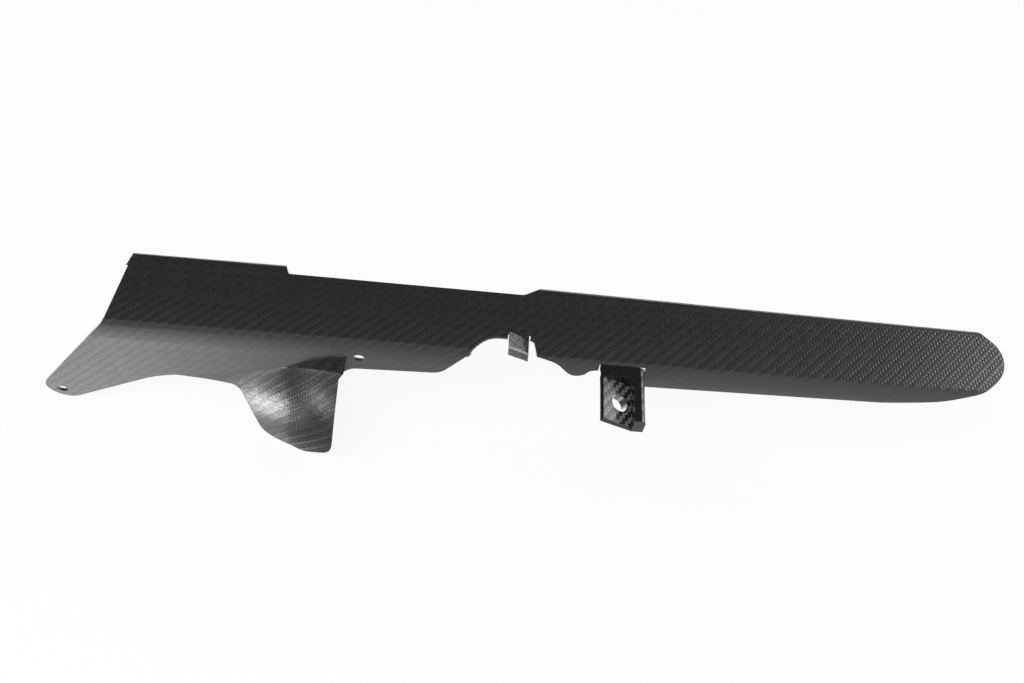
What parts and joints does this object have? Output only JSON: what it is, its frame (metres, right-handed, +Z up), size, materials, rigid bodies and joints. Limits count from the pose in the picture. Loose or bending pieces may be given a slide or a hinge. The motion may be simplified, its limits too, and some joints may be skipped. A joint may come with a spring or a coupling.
{
  "type": "motorcycle chain guard",
  "caption": "Twill carbon chain guard for a motorcycle: a folded channel with a front wing, a flared fin, a bracket and a hook tab, bolted over the upper chain run.",
  "frame": {"origin": "centre of the middle bolt hole on the outer face of the skirt", "axes": "+X rearward along the chain, +Y inboard toward the chain, +Z up away from the swingarm"},
  "size_m": [0.6353, 0.0931, 0.11],
  "materials": {
    "carbon_satin": "satin twill carbon laminate",
    "carbon_gloss": "gloss twill carbon laminate",
    "sleeve_metal": "turned, satin",
    "tab_metal": "dull, mottled"
  },
  "bodies": {
    "root": {"guard_shell": "carbon_satin", "rear_bracket": "carbon_gloss", "bracket_sleeve": "sleeve_metal", "hook_tab": "tab_metal"}
  },
  "joints": []
}
